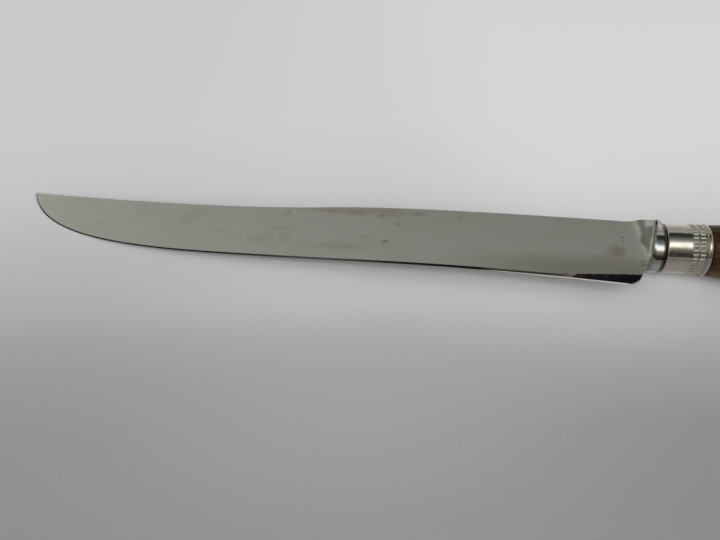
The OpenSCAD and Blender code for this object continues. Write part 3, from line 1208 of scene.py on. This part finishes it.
@dataclass
class Handle:
    """The shaped handle, a smooth skin from the ferrule's rim to the rounded butt."""

    finish: DarkHardwood = DarkHardwood()
    start: float = 12.9
    length: float = 114.0
    back: Profile = Profile(7.75, 8.25, 9.4, 9.6)
    belly: Profile = Profile(7.75, 16.9, 8.5, 12.4)
    side: Profile = Profile(7.75, 12.1, 8.4, 10.6)
    # Length of the butt's rounding, its roundness, and the angles of its rings
    butt_round: float = 9.0
    butt_power: float = 2.4
    butt_angles: tuple[int, ...] = tuple(range(4, 89, 4))
    # The end that the ferrule hides is this much of the front's size
    hidden_end: float = 0.93
    # Points round a section, and sections before the butt
    sides: int = 96
    rings: int = 90

    def butt_in(self, share: float) -> float:
        """How far the butt's rounding has drawn the section in, at a share of the length."""
        t = max(0.0, 1 - (1 - share) * self.length / self.butt_round)
        return (1 - t**self.butt_power) ** (1 / self.butt_power)

    def ring(self, share: float) -> list[Point]:
        """One section of the handle.

        Args:
            share: Its place, as a share of the length.

        Returns:
            The section's points, in millimetres of the knife's own frame.
        """
        x = self.start + share * self.length
        drawn = self.butt_in(share)
        back, belly, side = (profile.at(share) for profile in (self.back, self.belly, self.side))
        points = []
        for k in range(self.sides):
            turn = 2 * math.pi * k / self.sides
            reach = back if math.cos(turn) > 0 else belly
            points.append((x, drawn * math.cos(turn) * reach, drawn * math.sin(turn) * side))
        return points

    def sections(self) -> list[list[Point]]:
        """All sections of the handle.

        Returns:
            The sections, from the hidden end to the butt.
        """
        butt = self.butt_round / self.length
        shares = [(1 - butt) * i / self.rings for i in range(self.rings + 1)]
        shares += [1 - butt * (1 - math.sin(math.radians(angle))) for angle in self.butt_angles]
        rings = [self.ring(share) for share in shares]
        hidden = [(x, y * self.hidden_end, z * self.hidden_end) for x, y, z in rings[0]]
        return [hidden] + rings

    def build(self) -> bpy.types.Object:
        """Builds the handle's skin in place of the CAD node.

        Returns:
            The skin, still without a finish.
        """
        piece = loft("handle_skin", self.sections())
        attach(piece, Body.ROOT.value)
        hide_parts("handle")
        return piece

    def dress(self, piece: bpy.types.Object) -> None:
        """Gives the skin its finish."""
        piece.data.materials.append(self.finish.material())


@dataclass
class Studio:
    """The paper, the light and the camera."""

    paper: Paper = Paper()
    # Half the paper's side, in metres
    floor_half: float = 8.0

    # The camera's place and axes, its lens in millimetres, and its near and far limits
    camera_at: Point = (-14.4586, -151.978, 127.2332)
    right: Point = (0.985209, 0.16838, -0.031719)
    up: Point = (-0.088806, 0.66014, 0.745872)
    back: Point = (0.146533, -0.73202, 0.665337)
    lens: float = 29.1
    sensor: float = 36.0
    near: float = 0.01
    far: float = 50.0

    # Brightness of the room round the knife's axis, from the level way ahead over the top, in degrees
    sky: tuple[tuple[float, Colour], ...] = (
        (0.0, (0.82, 0.82, 0.78)),
        (27.0, (0.76, 0.76, 0.72)),
        (36.0, (0.42, 0.42, 0.407)),
        (41.0, (0.37, 0.37, 0.36)),
        (46.0, (0.425, 0.425, 0.41)),
        (51.0, (0.51, 0.51, 0.495)),
        (63.0, (0.5, 0.5, 0.485)),
        (67.0, (0.02, 0.021, 0.022)),
        (76.0, (0.022, 0.028, 0.034)),
        (88.0, (0.07, 0.072, 0.066)),
        (104.0, (0.3, 0.31, 0.31)),
        (112.0, (0.75, 0.78, 0.78)),
        (119.0, (1.65, 1.66, 1.64)),
        (130.0, (1.65, 1.66, 1.6)),
        (138.0, (0.55, 0.53, 0.47)),
        (144.0, (0.26, 0.23, 0.195)),
        (154.0, (0.11, 0.095, 0.08)),
        (161.0, (0.035, 0.033, 0.03)),
        (180.0, (0.035, 0.033, 0.03)),
    )
    # How much brighter the room is to the left than straight ahead
    left_light: float = 0.5

    # What lights paper and wood: broad windows at both ends of the knife, and one on the camera's side
    window: Colour = (0.92, 0.92, 0.92)
    window_left: Ends = (0.48, 0.68)
    window_right: Ends = (0.34, 0.56)
    window_height: Ends = (0.02, 0.3)
    front: Colour = (1.65, 1.65, 1.65)
    front_from: Ends = (0.2, 0.7)
    # What gloss mirrors at the ends of the knife, in place of those windows: the walls
    left_wall: Colour = (0.78, 0.77, 0.69)
    right_wall: Colour = (0.42, 0.41, 0.37)
    # What the camera sees beyond the paper
    beyond: Colour = (0.8, 0.81, 0.82)

    def away(self) -> Vector:
        """The level direction from the camera to the knife."""
        return Vector((-self.back[0], -self.back[1], 0.0)).normalized()

    def aside(self) -> Vector:
        """The level direction to the camera's right."""
        way = self.away()
        return Vector((way.y, -way.x, 0.0))

    def add_floor(self) -> None:
        """Lays the paper."""
        h = self.floor_half
        mesh = bpy.data.meshes.new("paper")
        mesh.from_pydata([(-h, -h, 0), (h, -h, 0), (h, h, 0), (-h, h, 0)], [], [(0, 1, 2, 3)])
        floor = bpy.data.objects.new("paper", mesh)
        bpy.context.scene.collection.objects.link(floor)
        mesh.materials.append(self.paper.material(self.away(), self.aside()))

    def add_light(self) -> None:
        """Makes the room's soft light.

        Gloss mirrors the room that was worked out from the metal's reflections: pale ahead, dark overhead,
        one broad bright band on the camera's side, and a wall at each end of the knife. Paper and wood are
        lit by the same room, with broad windows at the ends and on the camera's side.
        """
        n = Nodes("soft_room", world=True)
        toward = n.add("TexCoord").outputs["Generated"]
        level = n.along(toward, tuple(self.away()))
        across = n.along(toward, tuple(self.aside()))
        _, _, height = n.split(toward)
        turn = n.math("DIVIDE", n.math("ARCTAN2", height, level), math.pi, clamp=True)
        sky = n.ramp(turn, [(math.radians(angle) / math.pi, tone) for angle, tone in self.sky])

        to_left = n.span(n.times(across, -1.0), self.window_left)
        at_ends = n.plus(to_left, n.span(across, self.window_right))
        at_ends = n.times(at_ends, n.span(height, self.window_height))
        in_front = n.span(n.times(level, -1.0), self.front_from)
        walls = n.colour(self.left_wall, self.right_wall, n.beyond(across, 0.0))
        shown = n.colour(sky, walls, at_ends)
        lit = n.colour(n.colour(sky, self.window, at_ends), self.front, in_front)
        strength = n.mixed(n.minus(1.0, n.times(across, self.left_light)), 1.0, at_ends)

        path = n.add("LightPath").outputs
        tone = n.colour(lit, shown, path["Is Glossy Ray"])
        room = n.add("Background", {"Color": tone, "Strength": strength}).outputs[0]
        pale = n.add("Background", {"Color": self.beyond, "Strength": 1.0}).outputs[0]
        both = n.add("MixShader", {0: path["Is Camera Ray"], 1: room, 2: pale})
        n.plug(n.out.inputs["Surface"], both.outputs[0])
        bpy.context.scene.world = n.data

    def add_camera(self) -> None:
        """Stands the camera where the photograph was taken."""
        data = bpy.data.cameras.new("photo_camera")
        data.lens = self.lens
        data.sensor_width = self.sensor
        data.clip_start = self.near
        data.clip_end = self.far
        camera = bpy.data.objects.new("photo_camera", data)
        bpy.context.scene.collection.objects.link(camera)
        turn = Matrix((self.right, self.up, self.back)).transposed().to_4x4()
        camera.matrix_world = Matrix.Translation(Vector(self.camera_at) * MM) @ turn
        bpy.context.scene.camera = camera

    def build(self) -> None:
        """Sets up paper, light and camera."""
        self.add_floor()
        self.add_light()
        self.add_camera()
        bpy.context.scene.view_settings.view_transform = "Standard"


def main() -> None:
    """Builds the studio and dresses the knife, piece by piece."""
    logging.basicConfig(level=logging.INFO, format="%(name)s: %(message)s")
    Studio().build()
    for part in (Blade(), Ferrule(), TangCement()):
        piece = part.dress()
        log.info("%s wears %s", piece.name, part.finish.name)
    handle = Handle()
    piece = handle.build()
    handle.dress(piece)
    log.info("%s has %d faces and wears %s", piece.name, len(piece.data.polygons), handle.finish.name)


if __name__ == "__main__":
    main()
